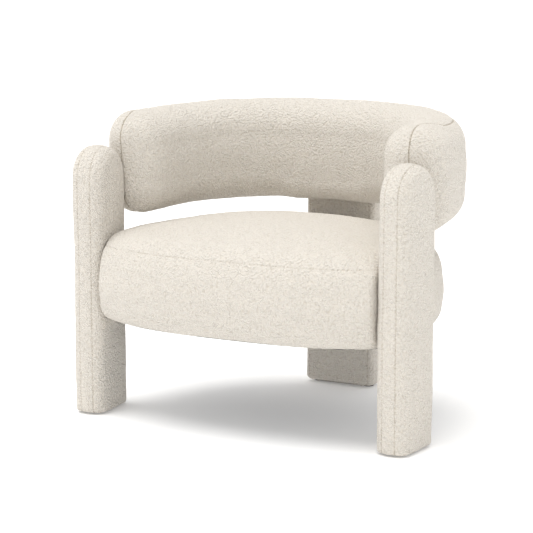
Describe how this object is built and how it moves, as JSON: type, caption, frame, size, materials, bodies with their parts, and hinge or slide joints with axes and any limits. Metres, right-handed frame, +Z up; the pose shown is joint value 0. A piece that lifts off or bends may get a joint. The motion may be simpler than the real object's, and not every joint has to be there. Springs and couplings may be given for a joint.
{
  "type": "upholstered armchair",
  "caption": "Low rounded lounge armchair in looped fabric: round-topped front legs, a wide rear leg, a drum-like seat and a C-shaped padded band as back and arms.",
  "frame": {"origin": "middle of the chair's outline in plan, on the floor", "axes": "+X the sitter's left, +Y towards the back of the chair, +Z up"},
  "size_m": [0.8082, 0.6267, 0.6618],
  "materials": {
    "boucle_cover": "cream looped boucle cloth, nubby and matte",
    "padding_foam": "pale yellow upholstery foam, under the cover",
    "solid_timber": "planed unvarnished timber, under the cover",
    "plywood": "sanded birch plywood, under the cover",
    "black_webbing": "black woven webbing and nonwoven lining cloth",
    "black_plastic": "moulded black glide",
    "zinc_steel": "zinc-plated steel"
  },
  "bodies": {
    "root": {"front_leg_core_left": "solid_timber", "front_leg_core_right": "solid_timber", "front_leg_foam_left": "padding_foam", "front_leg_foam_right": "padding_foam", "front_leg_strip_left": "boucle_cover", "front_leg_strip_right": "boucle_cover", "front_leg_outer_panel_left": "boucle_cover", "front_leg_outer_panel_right": "boucle_cover", "front_leg_inner_panel_left": "boucle_cover", "front_leg_inner_panel_right": "boucle_cover", "front_leg_glides_left": "black_plastic", "front_leg_glides_right": "black_plastic", "rear_leg_core": "solid_timber", "rear_leg_foam": "padding_foam", "rear_leg_front_panel": "boucle_cover", "rear_leg_wrap_panel": "boucle_cover", "rear_leg_glides": "black_plastic", "band_rib_bottom": "plywood", "band_rib_top": "plywood", "band_posts": "plywood", "band_inner_skin": "plywood", "band_outer_skin": "plywood", "band_foam_back": "padding_foam", "band_foam_left": "padding_foam", "band_foam_right": "padding_foam", "band_inner_panel": "boucle_cover", "band_outer_panel": "boucle_cover", "seat_front_rail": "solid_timber", "seat_side_rail_left": "solid_timber", "seat_side_rail_right": "solid_timber", "seat_back_rail": "solid_timber", "seat_corner_blocks": "plywood", "seat_webbing_lengthwise": "black_webbing", "seat_webbing_crosswise": "black_webbing", "seat_deck_cloth": "black_webbing", "seat_edge_foam": "padding_foam", "seat_foam_base": "padding_foam", "seat_foam_top": "padding_foam", "seat_top_panel": "boucle_cover", "seat_boxing": "boucle_cover", "seat_dust_cover": "black_webbing", "seat_bolts": "zinc_steel", "band_bolts": "zinc_steel", "bolt_washers": "zinc_steel", "threaded_inserts": "zinc_steel"}
  },
  "joints": []
}
